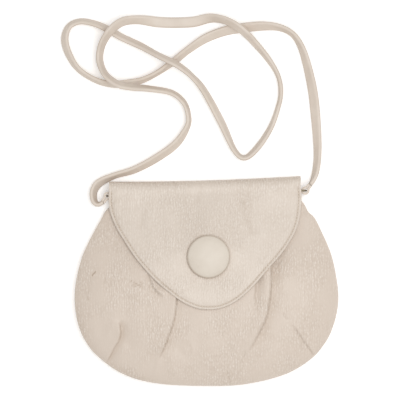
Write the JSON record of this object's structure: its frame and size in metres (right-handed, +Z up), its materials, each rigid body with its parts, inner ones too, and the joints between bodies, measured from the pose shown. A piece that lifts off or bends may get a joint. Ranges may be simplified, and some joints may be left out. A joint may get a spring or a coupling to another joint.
{
  "type": "shoulder bag",
  "caption": "Cream pebbled-leather shoulder bag: soft pleated pouch, fold-over flap with a covered button, thin strap.",
  "frame": {"origin": "middle of the space that the pouch and flap cover on the surface it lies on", "axes": "+Z up from the surface, towards the bag's front; +X to the right across the bag, seen from its front; +Y towards the fold"},
  "size_m": [0.2472, 0.3319, 0.0405],
  "materials": {
    "leather": "pebbled, soft satin",
    "flap_leather": "pebbled, soft satin",
    "button_leather": "smooth, satin",
    "flap_facing": "matt",
    "lining": "matt cotton",
    "trim": "satin",
    "strap": "satin",
    "ring_metal": "aged",
    "snap_metal": "aged",
    "hidden_metal": "plain"
  },
  "bodies": {
    "pouch": {"back_panel": "leather", "front_panel": "leather", "lining_front": "lining", "lining_back": "lining", "side_tab_left": "trim", "side_tab_right": "trim", "strap_eye_left": "trim", "strap_eye_right": "trim", "strap": "strap", "snap_socket": "snap_metal"},
    "flap": {"flap_leather": "flap_leather", "flap_lining": "flap_facing", "button_cover": "button_leather", "button_cap": "hidden_metal", "button_back_plate": "hidden_metal", "snap_stud": "snap_metal", "snap_washer": "hidden_metal"},
    "ring_left": {"ring_left": "ring_metal"},
    "ring_right": {"ring_right": "ring_metal"}
  },
  "joints": [
    {"name": "flap_hinge", "type": "hinge", "parent": "pouch", "child": "flap", "pos_m": [0, 0.0918, 0.0085], "axis": [-0.9996, -0.028, 0], "range_deg": [0, 120]},
    {"name": "ring_left_turn", "type": "hinge", "parent": "pouch", "child": "ring_left", "pos_m": [-0.0845, 0.07603, 0.0076], "axis": [0, 1, 0], "continuous": true},
    {"name": "ring_right_turn", "type": "hinge", "parent": "pouch", "child": "ring_right", "pos_m": [0.0845, 0.08077, 0.0076], "axis": [0, 1, 0], "continuous": true}
  ]
}
